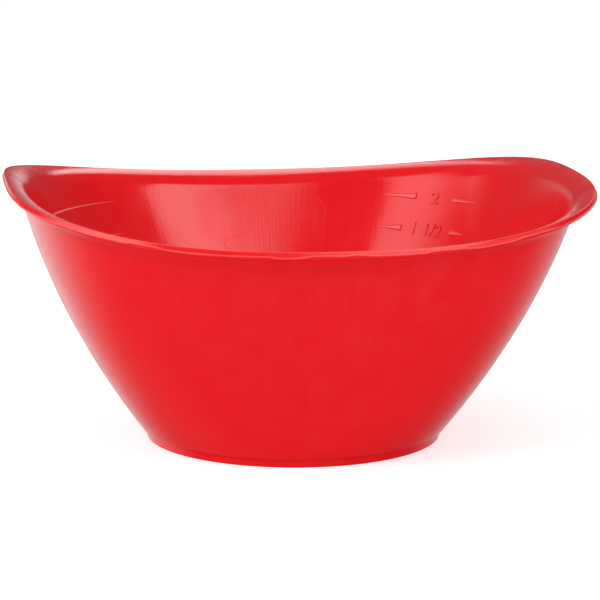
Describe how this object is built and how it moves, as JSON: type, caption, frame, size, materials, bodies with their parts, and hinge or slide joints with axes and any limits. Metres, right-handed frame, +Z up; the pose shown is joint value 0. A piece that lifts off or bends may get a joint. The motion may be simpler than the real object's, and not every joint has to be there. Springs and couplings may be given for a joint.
{
  "type": "hair color bowl",
  "caption": "Moulded plastic hair color mixing bowl: round foot, flared rounded-square wall, saddle-shaped flanged rim and raised measuring ticks inside.",
  "frame": {"origin": "centre of the foot on the surface that the bowl rests on", "axes": "+Z up out of the bowl's mouth, +X towards a raised end of the rim, +Y towards a low side of the rim"},
  "size_m": [0.1482, 0.1439, 0.068],
  "materials": {
    "red_plastic": "glossy moulded polypropylene, dyed through"
  },
  "bodies": {
    "root": {"bowl": "red_plastic"}
  },
  "joints": []
}
